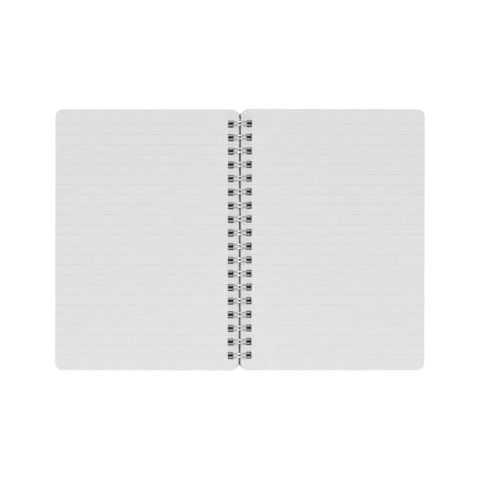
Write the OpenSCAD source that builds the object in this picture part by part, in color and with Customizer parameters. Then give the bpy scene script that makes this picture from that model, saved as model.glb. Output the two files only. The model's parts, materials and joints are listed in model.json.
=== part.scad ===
// Twin-loop wire-bound notebook, lying open and flat.
// The wire rings run along Y, and the ring axis lies over the origin.
// The left half holds the front cover and the pages already turned, and the right half holds the rest.

/* [Pages] */
// Width of a leaf
leaf_w = 128; // [90:1:220]
// Height of a leaf
leaf_h = 182; // [150:1:190]
// Radius of a leaf's rounded corners
leaf_corner = 5; // [2:0.5:12]
// Thickness of one leaf
leaf_t = 0.1; // [0.06:0.01:0.11]
// Leaves already turned to the left
left_leaves = 40; // [16:8:40]
// Leaves still on the right
right_leaves = 40; // [16:8:40]
// How much higher the right leaves sit than the left ones
right_rise = 0.35; // [0:0.05:0.5]

/* [Covers] */
// Thickness of a cover board
cover_t = 0.6; // [0.4:0.1:0.8]

/* [Punched holes] */
// Width of a hole, across the spine
hole_w = 4; // [4:0.1:4.5]
// Height of a hole, along the spine
hole_h = 5; // [4.6:0.1:6]
// Strip of paper between the holes and the spine edge
hole_strip = 3.6; // [2.4:0.1:3.6]

/* [Wire] */
// Diameter of the wire
wire_d = 0.9; // [0.7:0.05:1.0]
// Outer diameter of a closed ring
ring_d = 15.5; // [15.5:0.25:17]
// Distance between the two wires of a loop
twin_gap = 2.7; // [2.5:0.1:2.9]
// Distance from loop to loop
pitch = 9.5; // [9:0.1:10]

/* [Hidden] */
$fn = 48;

// The row of holes stops short of the leaf's top and bottom edges
end_margin = 10;
loops = floor((leaf_h - 2 * end_margin) / pitch) + 1;

// A ring's centre line is round, apart from the crimped seam at its bottom
ring_r = (ring_d - wire_d) / 2;
bend_r = twin_gap / 2;
seam_turn = 28;
crimp_shift = bend_r / tan(seam_turn);
crimp_r = ring_r - bend_r / sin(seam_turn);
seam_depth = crimp_shift + crimp_r;
axis_z = seam_depth + wire_d / 2;
stub = 1.2;

// Each half is a flat slab that hangs on the rings and slopes down to the table at its outer edge.
// Heights in a slab are measured from the ring axis, and distances from the spine's middle.
ring_play = 0.08;
rest_gap = 0.02;
bore_r = ring_r - wire_d / 2;
cover_in = 0.1;
cover_low = -sqrt(pow(bore_r - ring_play, 2) - pow(cover_in + hole_strip, 2));
pages_low = cover_low + cover_t + rest_gap;
cover_out = cover_in + leaf_w;
droop = asin((axis_z + cover_low) / cover_out);

// The leaves fan out a little, the bottom ones nearest the spine, and the rings' outside pushes the top ones out
fan_steps = 8;
left_in = 0.45;
left_fan = 0.15;
right_in = 0.8;
right_fan = 0.25;
ring_out_r = ring_r + wire_d / 2 + ring_play;
function loop_y(i) = (i - (loops - 1) / 2) * pitch;
function pushed_out(height) = sqrt(pow(ring_out_r, 2) - pow(height, 2)) - hole_strip - hole_w;

// A punched leaf's outline, with its spine edge along Y at x = 0
module leaf_outline() {
    difference() {
        translate([0, -leaf_h / 2]) square([leaf_w, leaf_h]);
        for (x = [0, 1], y = [-1, 1])
            translate([x * leaf_w, y * leaf_h / 2]) corner_waste(1 - 2 * x, -y);
        for (i = [0 : loops - 1])
            translate([hole_strip, loop_y(i) - hole_h / 2]) square([hole_w, hole_h]);
    }
}

// What a rounding die takes off a corner, which points away from (sx, sy)
module corner_waste(sx, sy) {
    difference() {
        translate([sx * leaf_corner / 2, sy * leaf_corner / 2])
            square(leaf_corner, center = true);
        translate([sx * leaf_corner, sy * leaf_corner]) circle(leaf_corner);
    }
}

// A flat board of the leaf's outline, its spine edge `inset` from the spine and its underside at `low`
module board(inset, low, thickness) {
    translate([inset, 0, low]) linear_extrude(thickness) leaf_outline();
}

// A fanned stack of leaves, the bottom one `inset` from the spine and the top one `fan` further out
module pages(inset, fan, leaves) {
    step_t = leaves * leaf_t / fan_steps;
    for (i = [0 : fan_steps - 1]) {
        low = pages_low + i * step_t;
        board(max(inset + fan * i / (fan_steps - 1), pushed_out(low + step_t)), low, step_t);
    }
}

// Lays a half out to the right or, mirrored, to the left
module right_half(rise) {
    translate([0, rise, axis_z]) rotate([0, droop, 0]) children();
}

module left_half(rise) {
    mirror([1, 0, 0]) right_half(rise) children();
}

module front_cover() {
    color("#6e5a3e") left_half(-right_rise / 2) board(cover_in, cover_low, cover_t);
}

module left_pages() {
    color("#e2e2e3") left_half(-right_rise / 2) pages(left_in, left_fan, left_leaves);
}

module right_pages() {
    color("#e2e2e3") right_half(right_rise / 2) pages(right_in, right_fan, right_leaves);
}

module back_cover() {
    color("#6e5a3e") right_half(0) board(cover_in, cover_low, cover_t);
}

// A bend of the wire about Z, from one angle through a turn
module bend(r, from, turn) {
    rotate_extrude(angle = turn, start = from) translate([r, 0]) circle(d = wire_d);
}

// One wire of a loop: round over the top, then tighter into the flat seam at the bottom
module ring_wire() {
    rotate([90, 0, 0]) {
        bend(ring_r, 270 + seam_turn, 360 - 2 * seam_turn);
        translate([-bend_r, -crimp_shift, 0]) bend(crimp_r, 270 - seam_turn, seam_turn);
        translate([bend_r, -crimp_shift, 0]) bend(crimp_r, 270, seam_turn);
    }
}

// A loop: two wires side by side, which a U bend joins into a finger tip at the seam
module loop() {
    for (side = [-1, 1])
        translate([0, side * bend_r, 0]) ring_wire();
    translate([-bend_r, 0, -seam_depth]) bend(bend_r, -90, 180);
}

// The back of the binding: at the seam's other side each wire turns outwards, away from its twin,
// and runs along the spine, in line with the finger tips that nest between the bends
module link() {
    translate([bend_r, 0, -seam_depth]) {
        translate([0, twin_gap, 0]) bend(bend_r, 180, 90);
        translate([0, pitch - twin_gap, 0]) bend(bend_r, 90, 90);
        translate([-bend_r, twin_gap, 0]) along_spine(pitch - 2 * twin_gap);
    }
}

module along_spine(run) {
    rotate([-90, 0, 0]) cylinder(d = wire_d, h = run);
}

// A cut end of the wire, past the first or the last loop
module cut_end(side) {
    translate([bend_r, side * twin_gap, -seam_depth]) {
        bend(bend_r, 135 + side * 45, 90);
        translate([-bend_r, (side - 1) / 2 * stub, 0]) along_spine(stub);
    }
}

module wire_binding() {
    color("silver") translate([0, 0, axis_z]) {
        for (i = [0 : loops - 1])
            translate([0, loop_y(i), 0]) {
                loop();
                if (i < loops - 1) link();
            }
        translate([0, loop_y(0), 0]) cut_end(-1);
        translate([0, loop_y(loops - 1), 0]) cut_end(1);
    }
}

wire_binding();
front_cover();
left_pages();
right_pages();
back_cover();
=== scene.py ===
# %% [markdown]
# # An open twin-loop notebook
# The real notebook is five things: two boards, two stacks of ruled leaves and one long bent wire. The
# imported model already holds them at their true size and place, so this lesson dresses them: every leaf
# becomes a sheet of paper of its own, the wire a round tube, and each gets a finish made of nodes. The
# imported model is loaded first, because each later piece takes its place from it.

# %% Load the model that the pieces are fitted to
import json
import math
import random

import bpy
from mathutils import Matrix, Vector, noise
from mathutils.geometry import delaunay_2d_cdt


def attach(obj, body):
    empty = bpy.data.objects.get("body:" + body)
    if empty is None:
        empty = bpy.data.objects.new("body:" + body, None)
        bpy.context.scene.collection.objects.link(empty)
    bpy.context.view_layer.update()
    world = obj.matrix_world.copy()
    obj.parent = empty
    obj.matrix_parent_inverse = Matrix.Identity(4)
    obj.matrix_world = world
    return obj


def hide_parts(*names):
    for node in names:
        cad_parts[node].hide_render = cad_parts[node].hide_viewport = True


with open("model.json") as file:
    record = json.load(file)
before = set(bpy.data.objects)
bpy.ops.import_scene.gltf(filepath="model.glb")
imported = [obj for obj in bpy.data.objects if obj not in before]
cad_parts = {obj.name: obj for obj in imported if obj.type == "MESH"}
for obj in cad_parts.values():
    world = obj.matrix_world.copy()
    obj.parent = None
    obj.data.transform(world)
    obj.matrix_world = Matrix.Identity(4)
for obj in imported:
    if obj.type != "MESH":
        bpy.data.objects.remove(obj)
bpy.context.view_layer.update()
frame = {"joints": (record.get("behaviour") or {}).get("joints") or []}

# %% [markdown]
# ## Sizes
# A binder would order this book as B6 leaves, 128 by 182 mm, punched at 9.5 mm for a wire of 15.5 mm.
# The lengths are written here in metres. What the model knows better, such as the height of the ring
# axis above the table, is read from its joints, and the slope of each half is worked out as it is for
# the real thing: the half hangs on the rings at the spine and touches the table at its outer edge.

# %% Sizes of the leaves, the holes and the wire
MM = 0.001
LEAF_W = 128 * MM
LEAF_H = 182 * MM
LEAF_CORNER = 5 * MM
LEAF_PITCH = 0.1 * MM
PAPER_T = 0.085 * MM
LEAVES = 40
BOARD_T = 0.6 * MM
BOARD_CORNER = 6 * MM
HOLE_W = 4 * MM
HOLE_H = 5 * MM
HOLE_STRIP = 3.6 * MM
HOLE_CORNER = 0.3 * MM
WIRE_D = 0.9 * MM
RING_R = 7.3 * MM
TWIN_GAP = 2.7 * MM
PITCH = 9.5 * MM
LOOPS = 18
BEND_R = TWIN_GAP / 2
RIGHT_RISE = 0.35 * MM
RING_PLAY = 0.08 * MM
REST_GAP = 0.02 * MM
COVER_IN = 0.1 * MM

AXIS_Z = frame["joints"][0]["pos_m"][2]
BORE_R = RING_R - WIRE_D / 2
COVER_LOW = -math.sqrt((BORE_R - RING_PLAY) ** 2 - (COVER_IN + HOLE_STRIP) ** 2)
PAGES_LOW = COVER_LOW + BOARD_T + REST_GAP
DROOP = math.asin((AXIS_Z + COVER_LOW) / (COVER_IN + LEAF_W))
print("ring axis at", round(AXIS_Z / MM, 3), "mm")
print("each half slopes by", round(math.degrees(DROOP), 3), "degrees")


def loop_y(i):
    return (i - (LOOPS - 1) / 2) * PITCH


def lay(side, rise, u, y, w):
    """A point of a half: u out from the spine, y along it and w up from the ring axis."""
    x = u * math.cos(DROOP) + w * math.sin(DROOP)
    z = AXIS_Z - u * math.sin(DROOP) + w * math.cos(DROOP)
    return (side * x, y + rise, z)


# %% [markdown]
# ## Camera
# The photograph looks straight down from far off: the tops of the rings are spaced as the holes below
# them are. The picture's up is +Y but for a tenth of a degree. One pixel of the photograph is 0.6975 mm
# on the pages, and the spine stands a little left of the picture's middle.

# %% Camera over the spine
MM_PER_PIXEL = 0.6975 * MM
PICTURE_PIXELS = 480
SPINE_PIXEL = (239.05, 239.2)
CAMERA_ROLL = 0.1
CAMERA_HEIGHT = 4.0
SENSOR = 36.0
page_z = AXIS_Z + PAGES_LOW + LEAVES * LEAF_PITCH - LEAF_W / 2 * math.sin(DROOP)
middle = (PICTURE_PIXELS - 1) / 2
camera_data = bpy.data.cameras.new("camera_above")
camera_data.sensor_width = SENSOR
camera_data.lens = SENSOR * CAMERA_HEIGHT / (PICTURE_PIXELS * MM_PER_PIXEL)
camera = bpy.data.objects.new("camera_above", camera_data)
camera.location = ((middle - SPINE_PIXEL[0]) * MM_PER_PIXEL,
                   (SPINE_PIXEL[1] - middle) * MM_PER_PIXEL,
                   page_z + CAMERA_HEIGHT)
camera.rotation_euler.z = math.radians(CAMERA_ROLL)
bpy.context.scene.collection.objects.link(camera)
bpy.context.scene.camera = camera
print("lens", round(camera_data.lens, 1), "mm")

# %% [markdown]
# ## Node maths
# A material is a small program. Writing `1 - mask * 0.3` is easier to read than three wired boxes, so
# one class wraps an output socket and turns each operator into a Math node. Any other node comes from
# `node`, which takes its type, its settings and the values or links of its inputs.

# %% A socket that does sums
class Socket:
    def __init__(self, tree, output):
        self.tree = tree
        self.output = output

    def maths(self, operation, *values):
        return node(self.tree, "ShaderNodeMath", {"operation": operation}, dict(enumerate(values)))

    def __add__(self, other):
        return self.maths("ADD", self, other)

    def __radd__(self, other):
        return self.maths("ADD", other, self)

    def __sub__(self, other):
        return self.maths("SUBTRACT", self, other)

    def __rsub__(self, other):
        return self.maths("SUBTRACT", other, self)

    def __mul__(self, other):
        return self.maths("MULTIPLY", self, other)

    def __rmul__(self, other):
        return self.maths("MULTIPLY", other, self)

    def __lt__(self, other):
        return self.maths("LESS_THAN", self, other)

    def __gt__(self, other):
        return self.maths("GREATER_THAN", self, other)

    def __abs__(self):
        return self.maths("ABSOLUTE", self)

    def wrapped(self, low, high):
        return node(self.tree, "ShaderNodeMath", {"operation": "WRAP"}, {0: self, 1: high, 2: low})

    def smooth(self, low, high):
        settings = {"interpolation_type": "SMOOTHSTEP"}
        return node(self.tree, "ShaderNodeMapRange", settings, {0: self, 1: low, 2: high})


def node(tree, kind, settings=None, inputs=None, output=0):
    """Adds a node, sets it up and feeds it numbers, colours or other sockets."""
    made = tree.nodes.new(kind)
    for name, value in (settings or {}).items():
        setattr(made, name, value)
    for name, value in (inputs or {}).items():
        if isinstance(value, Socket):
            tree.links.new(value.output, made.inputs[name])
        else:
            made.inputs[name].default_value = value
    return None if output is None else Socket(tree, made.outputs[output])


def blend(tree, factor, first, second):
    """Mixes two colours."""
    return node(tree, "ShaderNodeMix", {"data_type": "RGBA"}, {0: factor, 6: first, 7: second}, output=2)


def srgb(red, green, blue):
    """A colour as a picture file writes it, 0 to 255, turned into the light values that a shader takes."""
    def light(value):
        value = value / 255
        return value / 12.92 if value <= 0.04045 else ((value + 0.055) / 1.055) ** 2.4
    return (light(red), light(green), light(blue), 1.0)


def new_material(name):
    """An empty material with its surface shader and the object's own coordinates."""
    material = bpy.data.materials.new(name)
    material.use_nodes = True
    tree = material.node_tree
    surface = tree.nodes["Principled BSDF"]
    place = node(tree, "ShaderNodeTexCoord", output="Object")
    return material, tree, surface, place


def feed(tree, surface, name, value):
    if isinstance(value, Socket):
        tree.links.new(value.output, surface.inputs[name])
    else:
        surface.inputs[name].default_value = value


def noise_at(tree, place, scale, detail=2.0, rough=0.5):
    return node(tree, "ShaderNodeTexNoise", None,
                {"Vector": place, "Scale": scale, "Detail": detail, "Roughness": rough})


def bump(tree, height, strength, distance):
    return node(tree, "ShaderNodeBump", None, {"Strength": strength, "Distance": distance, "Height": height})


print("node helpers are ready")

# %% [markdown]
# ## Floor and light
# The notebook was shot on plain white under soft light. The room here has a bright ceiling and greyer
# walls, which gives the rings their look: bright along the top, darker where they slope, and pale again
# where they mirror the pages. A lamp hangs high, nearly overhead, so the shadows of the rings fall right
# under them and both pages get the same. A nearer one at the foot makes the lower lines of the pages a
# little brighter and cooler, as in the photograph.
#
# The floor is nearly white and glows to the camera, so the background comes out white while the object's
# shadow still shows on it. Where a spot on the floor sees little sky, as at the bottom of a punched
# hole or close under an edge, there is no glow, and the floor's colour is painted nearly black there too:
# a painted shade, as dark as the photograph shows it.

# %% World
WORLD_LIGHT = 0.5
WALL_GREY = 0.4
CEILING_BAND = (0.65, 0.97)


def seen_directly(tree):
    """1 for what the camera, a reflection or a view through glass sees, and 0 for other light."""
    ray = tree.nodes.new("ShaderNodeLightPath")
    camera_ray = Socket(tree, ray.outputs["Is Camera Ray"])
    glossy_ray = Socket(tree, ray.outputs["Is Glossy Ray"])
    through_ray = Socket(tree, ray.outputs["Is Transmission Ray"])
    return (camera_ray + glossy_ray + through_ray) > 0.5


world = bpy.data.worlds.new("studio")
world.use_nodes = True
tree = world.node_tree
tree.nodes.clear()
aim = node(tree, "ShaderNodeTexCoord", output="Generated")
up = node(tree, "ShaderNodeSeparateXYZ", None, {0: aim}, "Z")
room = WALL_GREY + up.smooth(*CEILING_BAND) * (1 - WALL_GREY)
brightness = room * (WORLD_LIGHT + seen_directly(tree) * (1 - WORLD_LIGHT))
sky = node(tree, "ShaderNodeBackground", None, {"Color": (1, 1, 1, 1), "Strength": brightness})
node(tree, "ShaderNodeOutputWorld", None, {"Surface": sky}, output=None)
bpy.context.scene.world = world
bpy.context.scene.view_settings.view_transform = "Standard"
print("the ceiling lights the object at", WORLD_LIGHT, "and the walls at", WORLD_LIGHT * WALL_GREY)

# %% Lamps
KEY_SIZE = 0.9
KEY_PLACE = Vector((-0.1, 0.25, 4.8))
KEY_SHARE = 0.525
FILL_SIZE = 0.7
FILL_PLACE = Vector((0.0, -0.72, 0.75))
FILL_SHARE = 0.178
NEUTRAL = (1, 1, 1)
COOL = (0.95, 0.94, 1.06)


def soft_box(name, size, place, share, colour):
    """A square lamp aimed at the notebook, strong enough to give its share of the light there."""
    data = bpy.data.lights.new(name, "AREA")
    data.size = size
    data.color = colour
    data.energy = share * (math.pi * place.length) ** 2 / (place.z / place.length)
    lamp = bpy.data.objects.new(name, data)
    lamp.location = place
    lamp.rotation_euler = (-place).to_track_quat("-Z", "Y").to_euler()
    bpy.context.scene.collection.objects.link(lamp)
    print(name, "gives", round(data.energy, 2), "W")


soft_box("key_lamp", KEY_SIZE, KEY_PLACE, KEY_SHARE, NEUTRAL)
soft_box("fill_lamp", FILL_SIZE, FILL_PLACE, FILL_SHARE, COOL)

# %% Floor
FLOOR_HALF = 4.0
FLOOR_GLOW = 0.75
GLOW_STRENGTH = 1.12
SKY_REACH = 12 * MM
SKY_SAMPLES = 24
SKY_BAND = (0.26, 0.38)
FLOOR_WHITE = (0.97, 0.97, 0.97, 1.0)
# The next colour is painted shade: near-black, put on the floor where little sky reaches it, in the punched
# holes and close under the edges.
FLOOR_PAINTED_SHADE = (0.038, 0.038, 0.038, 1.0)
floor_mesh = bpy.data.meshes.new("floor")
corners = [(x * FLOOR_HALF, y * FLOOR_HALF, 0) for x, y in ((-1, -1), (1, -1), (1, 1), (-1, 1))]
floor_mesh.from_pydata(corners, [], [(0, 1, 2, 3)])
floor = bpy.data.objects.new("floor", floor_mesh)
bpy.context.scene.collection.objects.link(floor)
floor_finish, tree, surface, place = new_material("white_floor")
sky_share = node(tree, "ShaderNodeAmbientOcclusion", {"samples": SKY_SAMPLES}, {"Distance": SKY_REACH}, "AO")
open_sky = sky_share.smooth(*SKY_BAND)
# Painted shade: the floor's colour goes from white to near-black as the ambient-occlusion mask finds less
# open sky; the same mask also turns the glow off there.
feed(tree, surface, "Base Color", blend(tree, open_sky, FLOOR_PAINTED_SHADE, FLOOR_WHITE))
feed(tree, surface, "Roughness", 1.0)
feed(tree, surface, "Specular IOR Level", 0.0)
glow = node(tree, "ShaderNodeEmission", None, {"Color": (1, 1, 1, 1), "Strength": GLOW_STRENGTH})
glow_share = seen_directly(tree) * open_sky * FLOOR_GLOW
plain = Socket(tree, surface.outputs["BSDF"])
mixed = node(tree, "ShaderNodeMixShader", None, {0: glow_share, 1: plain, 2: glow})
tree.links.new(mixed.output, tree.nodes["Material Output"].inputs["Surface"])
floor_mesh.materials.append(floor_finish)
print("floor of", 2 * FLOOR_HALF, "m")

# %% [markdown]
# ## Paper
# The leaves are plain white writing paper with pale warm grey rules 7 mm apart, printed edge to edge on
# both sides. Paper isn't one flat colour: the pulp is a little cloudy, and under a low light its fibres
# show as a very fine tooth. The rules are worked out from the distance to the nearest line, so they stay
# sharp at any size. A noise scale here is the number of its grains in a metre.

# %% Ruled paper
RULE_PITCH = 7 * MM
RULES = 24
RULE_W = 0.22 * MM
RULE_EDGE = 0.05 * MM
PAPER_WHITE = srgb(229, 229, 229)
PAPER_CLOUD = srgb(226, 226, 226)
RULE_INK = srgb(206, 206, 194)
INK_SCALE = 1800
INK_LEAST = 0.75
INK_VARIES = 0.5
CLOUD_SCALE = 260
CLOUD_BAND = (0.3, 0.7)
PAPER_ROUGH = 0.82
CLOUD_ROUGHENS = 0.1
CLOUD_LIFTS = 0.8
TOOTH_SCALE = 5200
TOOTH_STRENGTH = 0.12
TOOTH_DEPTH = 0.02 * MM


def ruled_paper(name, rise):
    material, tree, surface, place = new_material(name)
    y = node(tree, "ShaderNodeSeparateXYZ", None, {0: place}, "Y")
    down = y - rise
    first = RULE_PITCH * (RULES - 1) / 2
    off = abs((down - first + RULE_PITCH / 2).wrapped(0, RULE_PITCH) - RULE_PITCH / 2)
    on_page = abs(down) < first + RULE_PITCH / 2
    inked = (1 - off.smooth(RULE_W / 2 - RULE_EDGE, RULE_W / 2 + RULE_EDGE)) * on_page
    inked = inked * (INK_LEAST + noise_at(tree, place, INK_SCALE, detail=1.0) * INK_VARIES)
    cloud = noise_at(tree, place, CLOUD_SCALE, detail=3.0, rough=0.6)
    pulp = blend(tree, cloud.smooth(*CLOUD_BAND), PAPER_CLOUD, PAPER_WHITE)
    feed(tree, surface, "Base Color", blend(tree, inked, pulp, RULE_INK))
    feed(tree, surface, "Roughness", PAPER_ROUGH + cloud * CLOUD_ROUGHENS)
    feed(tree, surface, "Specular IOR Level", 0.25)
    tooth = noise_at(tree, place, TOOTH_SCALE) + cloud * CLOUD_LIFTS
    feed(tree, surface, "Normal", bump(tree, tooth, TOOTH_STRENGTH, TOOTH_DEPTH))
    return material


left_paper = ruled_paper("ruled_paper_left", -RIGHT_RISE / 2)
right_paper = ruled_paper("ruled_paper_right", RIGHT_RISE / 2)
print("ruled paper:", RULES, "rules a page")

# %% [markdown]
# ## Cover board
# A line of brown board shows between the two stacks. It is uncoated recycled board: a deep olive-brown
# with a soft mottle, scattered darker and paler fibres, and a matt surface. Fibres are noise stretched
# one way, cut off high so that only thin flecks are left, once along the board and once across it.

# %% Brown board
BOARD_BROWN = srgb(105, 86, 55)
BOARD_DARK = srgb(95, 76, 46)
FLECK_DARK = srgb(66, 52, 33)
FLECK_PALE = srgb(140, 121, 87)
MOTTLE_SCALE = 180
MOTTLE_BAND = (0.35, 0.65)
LONG_IN_Y = (1, 0.2, 1)
LONG_IN_X = (0.2, 1, 1)
DARK_SCALE = 2400
DARK_CUT = 0.62
DARK_SHARE = 0.7
PALE_SCALE = 2100
PALE_CUT = 0.64
PALE_SHARE = 0.6
FLECK_EDGE = 0.06
BOARD_ROUGH = 0.86
MOTTLE_ROUGHENS = 0.1
GRAIN_SCALE = 3600
GRAIN_SHARE = 0.6
FLECK_LIFTS = 0.3
GRAIN_STRENGTH = 0.25
GRAIN_DEPTH = 0.05 * MM


def flecks(tree, place, stretch, scale, cut):
    stretched = node(tree, "ShaderNodeMapping", None, {"Vector": place, "Scale": stretch})
    return noise_at(tree, stretched, scale).smooth(cut, cut + FLECK_EDGE)


board_finish, tree, surface, place = new_material("brown_board")
mottle = noise_at(tree, place, MOTTLE_SCALE, detail=4.0, rough=0.65)
base = blend(tree, mottle.smooth(*MOTTLE_BAND), BOARD_DARK, BOARD_BROWN)
dark = flecks(tree, place, LONG_IN_Y, DARK_SCALE, DARK_CUT)
pale = flecks(tree, place, LONG_IN_X, PALE_SCALE, PALE_CUT)
flecked = blend(tree, dark * DARK_SHARE, base, FLECK_DARK)
feed(tree, surface, "Base Color", blend(tree, pale * PALE_SHARE, flecked, FLECK_PALE))
feed(tree, surface, "Roughness", BOARD_ROUGH + mottle * MOTTLE_ROUGHENS)
feed(tree, surface, "Specular IOR Level", 0.2)
grain = mottle + noise_at(tree, place, GRAIN_SCALE) * GRAIN_SHARE + pale * FLECK_LIFTS
feed(tree, surface, "Normal", bump(tree, grain, GRAIN_STRENGTH, GRAIN_DEPTH))
print("board finish is ready")

# %% [markdown]
# ## Wire
# The binding is drawn steel wire with a bright plating. Drawing leaves a very fine grain on it and the
# closing tool rubs it a little, so the shine varies from place to place. It is a pale metal with
# middling roughness, and most of what it looks like is the room and the pages that it mirrors.

# %% Plated wire
WIRE_SILVER = srgb(222, 222, 224)
WIRE_RUBBED = srgb(202, 202, 205)
RUB_SCALE = 420
RUB_BAND = (0.35, 0.7)
WIRE_ROUGH = 0.24
RUB_ROUGHENS = 0.16
DRAWN_SCALE = 6000
DRAWN_STRENGTH = 0.08
DRAWN_DEPTH = 0.01 * MM
wire_finish, tree, surface, place = new_material("plated_wire")
rubbed = noise_at(tree, place, RUB_SCALE, detail=3.0, rough=0.6)
feed(tree, surface, "Base Color", blend(tree, rubbed.smooth(*RUB_BAND), WIRE_SILVER, WIRE_RUBBED))
feed(tree, surface, "Metallic", 1.0)
feed(tree, surface, "Roughness", WIRE_ROUGH + rubbed * RUB_ROUGHENS)
drawn = noise_at(tree, place, DRAWN_SCALE, detail=1.0)
feed(tree, surface, "Normal", bump(tree, drawn, DRAWN_STRENGTH, DRAWN_DEPTH))
print("wire finish is ready")

# %% [markdown]
# ## One leaf's plan
# A leaf is a rounded oblong with a row of punched holes. Its plan is drawn once as a flat net of
# triangles: the rim and the holes are fixed lines, and a loose grid of points between them lets the
# sheet bend a little. Every leaf is then made from that one plan, and the boards from a second one with
# rounder corners.

# %% The net of a punched leaf
CORNER_STEPS = 7
HOLE_STEPS = 2
NET_SPACING = 8 * MM
KEEP_OFF = 2.2 * MM
SLIVER = 0.01 * MM * MM
MERGE_MM = 1e-6


def rounded_box(low_u, high_u, low_y, high_y, radius, steps, spacing=None):
    """The rim of a box with round corners, counter-clockwise, with extra points along its long sides."""
    middles = [(high_u - radius, low_y + radius, -90), (high_u - radius, high_y - radius, 0),
               (low_u + radius, high_y - radius, 90), (low_u + radius, low_y + radius, 180)]
    rim = []
    for u, y, start in middles:
        for i in range(steps + 1):
            angle = math.radians(start + 90 * i / steps)
            rim.append(Vector((u + radius * math.cos(angle), y + radius * math.sin(angle))))
    if spacing is None:
        return rim
    filled = []
    for here, there in zip(rim, rim[1:] + rim[:1]):
        pieces = max(1, round((there - here).length / spacing))
        filled += [here.lerp(there, i / pieces) for i in range(pieces)]
    return filled


def hole_rim(i):
    return rounded_box(HOLE_STRIP, HOLE_STRIP + HOLE_W, loop_y(i) - HOLE_H / 2, loop_y(i) + HOLE_H / 2,
                       HOLE_CORNER, HOLE_STEPS)


def near_holes(point):
    in_band = HOLE_STRIP - KEEP_OFF < point.x < HOLE_STRIP + HOLE_W + KEEP_OFF
    return in_band and abs(point.y) < LEAF_H / 2 - LEAF_CORNER


def in_hole(point):
    if not HOLE_STRIP < point.x < HOLE_STRIP + HOLE_W:
        return False
    return any(abs(point.y - loop_y(i)) < HOLE_H / 2 for i in range(LOOPS))


def in_leaf(corners):
    """Whether a triangle is paper, not part of a hole nor a sliver between points in line on the rim."""
    a, b, c = corners
    return abs((b - a).cross(c - a)) / 2 > SLIVER and not in_hole((a + b + c) / 3)


def leaf_net(corner):
    """The plan's points, its triangles and its rims as lists of point numbers."""
    outline = rounded_box(0, LEAF_W, -LEAF_H / 2, LEAF_H / 2, corner, CORNER_STEPS, NET_SPACING)
    rims = [outline] + [hole_rim(i)[::-1] for i in range(LOOPS)]
    points, loops = [], []
    for rim in rims:
        loops.append(list(range(len(points), len(points) + len(rim))))
        points += rim
    columns = round(LEAF_W / NET_SPACING)
    rows = round(LEAF_H / NET_SPACING)
    for i in range(1, columns):
        for j in range(1, rows):
            point = Vector((i * LEAF_W / columns, (j / rows - 0.5) * LEAF_H))
            if not near_holes(point):
                points.append(point)
    edges = [pair for loop in loops for pair in zip(loop, loop[1:] + loop[:1])]
    scaled = [point / MM for point in points]
    made, _, faces, _, _, _ = delaunay_2d_cdt(scaled, edges, [], 0, MERGE_MM)
    if len(made) != len(points):
        raise ValueError("the net gained or lost points")
    paper = [tuple(face) for face in faces if in_leaf([points[i] for i in face])]
    return points, paper, loops


LEAF_NET = leaf_net(LEAF_CORNER)
BOARD_NET = leaf_net(BOARD_CORNER)
print("a leaf's net has", len(LEAF_NET[0]), "points and", len(LEAF_NET[1]), "triangles")

# %% [markdown]
# ## Stacks of leaves
# In an open wire-bound book the leaves fan: the bottom ones lie nearest the spine, and further up the
# rings push them outwards. No two leaves lie quite alike either. Each leaf here is a real sheet, 0.085
# mm thick, laid 0.1 mm above the last with a slip and a turn of its own that its punched holes allow,
# and the stack swells by up to a fifth of a millimetre where air has got between them. One mesh holds a
# whole stack, because a stack turns as one, and it stands for the plain block in the model.

# %% Bend the net into sheets
SWELL = 0.22 * MM
SWELL_SIZE = 75 * MM
FLAT_SPINE = 12 * MM
SLIP_U = 0.05 * MM
SLIP_Y = 0.05 * MM
TURN = math.radians(0.02)
RING_OUT_R = RING_R + WIRE_D / 2 + RING_PLAY
SHARP_ANGLE = 40


def pushed_out(w):
    """How far out the rings hold a leaf's spine edge at this height."""
    return math.sqrt(RING_OUT_R ** 2 - w ** 2) - HOLE_STRIP - HOLE_W


def swell(u, y, seed):
    """A gentle rise between 0 and 1 that dies out towards the rings."""
    rise = (noise.noise(Vector((u / SWELL_SIZE, y / SWELL_SIZE, seed))) + 1) / 2
    away = min(1.0, max(0.0, (u - FLAT_SPINE) / (LEAF_W / 2)))
    return rise * away * away * (3 - 2 * away)


def add_sheet(vertices, faces, net, side, rise, inset, low, thickness,
              swelling=0.0, seed=0.0, slip=(0, 0), turn=0.0):
    """Adds one closed sheet: the net below, the net above and a wall round every rim."""
    points, triangles, rims = net
    start = len(vertices)
    count = len(points)
    for level in (0, thickness):
        for point in points:
            u = inset + point.x + slip[0] - turn * point.y
            y = point.y + slip[1] + turn * point.x
            w = low + level + swelling * swell(point.x, point.y, seed)
            vertices.append(lay(side, rise, u, y, w))
    under = [tuple(start + i for i in reversed(face)) for face in triangles]
    over = [tuple(start + count + i for i in face) for face in triangles]
    walls = []
    for rim in rims:
        for here, there in zip(rim, rim[1:] + rim[:1]):
            walls.append((start + here, start + there, start + count + there, start + count + here))
    sheet_faces = under + over + walls
    if side < 0:
        sheet_faces = [face[::-1] for face in sheet_faces]
    faces += sheet_faces


def make_piece(name, vertices, faces, finish, body, stands_for, sharp_angle=SHARP_ANGLE):
    mesh = bpy.data.meshes.new(name)
    mesh.from_pydata(vertices, [], faces)
    mesh.materials.append(finish)
    mesh.shade_smooth()
    mesh.set_sharp_from_angle(angle=math.radians(sharp_angle))
    piece = bpy.data.objects.new(name, mesh)
    bpy.context.scene.collection.objects.link(piece)
    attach(piece, body)
    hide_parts(stands_for)
    return piece


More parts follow.
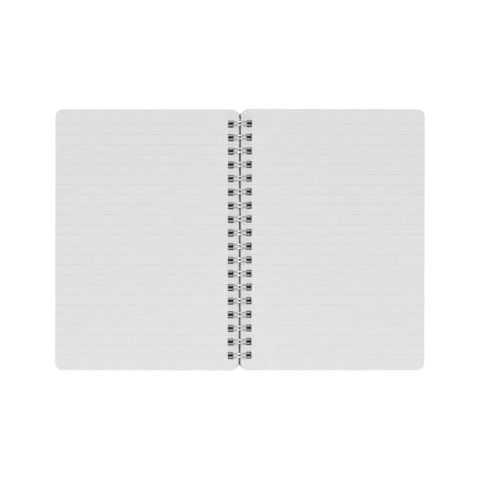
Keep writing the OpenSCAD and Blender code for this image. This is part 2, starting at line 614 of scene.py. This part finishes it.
def leaf_stack(name, side, rise, inset, fan, finish, body, seed):
    """A fanned stack of leaves that stands for the node of the same name as its body."""
    chance = random.Random(seed)
    vertices, faces = [], []
    for i in range(LEAVES):
        low = PAGES_LOW + i * LEAF_PITCH
        height = i / (LEAVES - 1)
        edge = max(inset + fan * height, pushed_out(low + LEAF_PITCH))
        slip = (chance.uniform(0, SLIP_U), chance.uniform(-SLIP_Y, SLIP_Y))
        add_sheet(vertices, faces, LEAF_NET, side, rise, edge, low, PAPER_T, SWELL * height, seed, slip,
                  chance.uniform(-TURN, TURN))
    piece = make_piece(name, vertices, faces, finish, body, body)
    print(name, "has", len(piece.data.polygons), "faces in", LEAVES, "leaves")


# %% Lay both stacks
LEFT_IN = 0.45 * MM
LEFT_FAN = 0.15 * MM
RIGHT_IN = 0.8 * MM
RIGHT_FAN = 0.25 * MM
LEFT_SEED = 3
RIGHT_SEED = 8
leaf_stack("left_leaves", -1, -RIGHT_RISE / 2, LEFT_IN, LEFT_FAN, left_paper, "left_pages", LEFT_SEED)
leaf_stack("right_leaves", 1, RIGHT_RISE / 2, RIGHT_IN, RIGHT_FAN, right_paper, "right_pages", RIGHT_SEED)

# %% [markdown]
# ## Boards
# The covers are punched like the leaves, from board 0.6 mm thick, but their corners are a little
# rounder, so that from above the leaves hide them. Die-cut board never has a knife-sharp arris, so a
# small bevel rounds every rim, the holes' too, and catches the light along the edge.

# %% Cut the two boards
BOARD_BEVEL = 0.09 * MM
BEVEL_SEGMENTS = 2
BEVEL_ANGLE = math.radians(60)


def board(name, side, rise, body):
    vertices, faces = [], []
    add_sheet(vertices, faces, BOARD_NET, side, rise, COVER_IN, COVER_LOW, BOARD_T)
    piece = make_piece(name, vertices, faces, board_finish, body, body)
    bevel = piece.modifiers.new("soft_arris", "BEVEL")
    bevel.width = BOARD_BEVEL
    bevel.segments = BEVEL_SEGMENTS
    bevel.limit_method = "ANGLE"
    bevel.angle_limit = BEVEL_ANGLE
    print(name, "is", LEAF_W / MM, "by", LEAF_H / MM, "mm")


board("front_board", -1, -RIGHT_RISE / 2, "front_cover")
board("back_board", 1, 0, "back_cover")

# %% [markdown]
# ## The wire
# A twin-loop binding is one wire. It runs along the back, turns up into a ring, comes round over the
# pages, makes a U bend at the finger tip, goes back over as the second wire of the pair, and turns out
# again to the next loop. Closing the comb brings each finger tip down between two back bends, at the
# bottom where the pages hide it. The path is written the same way, as straight runs and arcs joined end
# to end, and a round section is swept along it.

# %% The wire's path
RING_STEP = 5
BEND_STEP = 15
SEAM_TURN = 28
CUT_STUB = 1.2 * MM
CRIMP_SHIFT = BEND_R / math.tan(math.radians(SEAM_TURN))
CRIMP_R = RING_R - BEND_R / math.sin(math.radians(SEAM_TURN))
SEAM_DEPTH = CRIMP_SHIFT + CRIMP_R
LEAN = (0.16 * MM, 0.36 * MM)
TWIST = 0.22 * MM
PINCH = (0.03 * MM, 0.15 * MM)
WIRE_SEED = 5


def turned(middle, radius, start, end, step):
    """Points on an arc, from one angle in degrees to another."""
    pieces = max(1, round(abs(end - start) / step))
    angles = [math.radians(start + (end - start) * i / pieces) for i in range(pieces + 1)]
    return [(middle[0] + radius * math.cos(a), middle[1] + radius * math.sin(a)) for a in angles]


def ring_profile():
    """A ring in x and z, from the back's side of the seam up, over and down to the finger tip's side."""
    points = turned((BEND_R, -CRIMP_SHIFT), CRIMP_R, 270, 270 + SEAM_TURN, RING_STEP)
    points += turned((0, 0), RING_R, SEAM_TURN - 90, 270 - SEAM_TURN, RING_STEP)[1:]
    points += turned((-BEND_R, -CRIMP_SHIFT), CRIMP_R, 270 - SEAM_TURN, 270, RING_STEP)[1:]
    return points


def ring(y, side, lean, pinch):
    """One wire of a loop; real ones lean and twist a little, and the pair draws together at the top."""
    points = []
    for x, z in ring_profile():
        height = (z + SEAM_DEPTH) / (RING_R + SEAM_DEPTH)
        out = x / RING_R
        apart = BEND_R - pinch * height * (1 - out * out)
        points.append(Vector((x, y + side * apart + (lean + TWIST * out) * height, z)))
    return points


def flat_bend(middle_x, middle_y, start, end):
    """A bend in the plane of the seam."""
    arc = turned((middle_x, middle_y), BEND_R, start, end, BEND_STEP)
    return [Vector((x, y, -SEAM_DEPTH)) for x, y in arc]


def wire_path():
    chance = random.Random(WIRE_SEED)
    points = [Vector((0, loop_y(0) - TWIN_GAP - CUT_STUB, -SEAM_DEPTH))]
    for i in range(LOOPS):
        y = loop_y(i)
        lean = chance.uniform(*LEAN)
        pinch = chance.uniform(*PINCH)
        points += flat_bend(BEND_R, y - TWIN_GAP, 180, 90)
        points += ring(y, -1, lean, pinch)[1:]
        points += flat_bend(-BEND_R, y, -90, 90)[1:]
        points += ring(y, 1, lean, pinch)[-2::-1]
        points += flat_bend(BEND_R, y + TWIN_GAP, 270, 180)[1:]
    points.append(Vector((0, loop_y(LOOPS - 1) + TWIN_GAP + CUT_STUB, -SEAM_DEPTH)))
    return [point + Vector((0, 0, AXIS_Z)) for point in points]


WIRE_PATH = wire_path()
wire_length = sum((b - a).length for a, b in zip(WIRE_PATH, WIRE_PATH[1:]))
print("the wire is", round(wire_length, 3), "m long in", len(WIRE_PATH), "steps")

# %% Sweep the wire's round section
WIRE_SIDES = 14
WIRE_SHARP_ANGLE = 60


def sweep(path, radius, sides):
    """A closed tube along a path. Each section is turned no more than the path itself turns."""
    tangents = []
    for i in range(len(path)):
        before, after = path[max(i - 1, 0)], path[min(i + 1, len(path) - 1)]
        tangents.append((after - before).normalized())
    across = tangents[0].orthogonal().normalized()
    vertices, faces = [], []
    for i, (point, tangent) in enumerate(zip(path, tangents)):
        if i:
            across = tangents[i - 1].rotation_difference(tangent) @ across
        across = (across - tangent * across.dot(tangent)).normalized()
        up = tangent.cross(across)
        for k in range(sides):
            angle = 2 * math.pi * k / sides
            vertices.append(point + (across * math.cos(angle) + up * math.sin(angle)) * radius)
    for i in range(len(path) - 1):
        for k in range(sides):
            here, there = i * sides, (i + 1) * sides
            faces.append((here + k, here + (k + 1) % sides, there + (k + 1) % sides, there + k))
    faces.append(tuple(range(sides))[::-1])
    faces.append(tuple(range(len(vertices) - sides, len(vertices))))
    return [tuple(v) for v in vertices], faces


vertices, faces = sweep(WIRE_PATH, WIRE_D / 2, WIRE_SIDES)
wire = make_piece("twin_loop_wire", vertices, faces, wire_finish, "binding", "wire_binding",
                  WIRE_SHARP_ANGLE)
print("the wire has", len(wire.data.polygons), "faces")
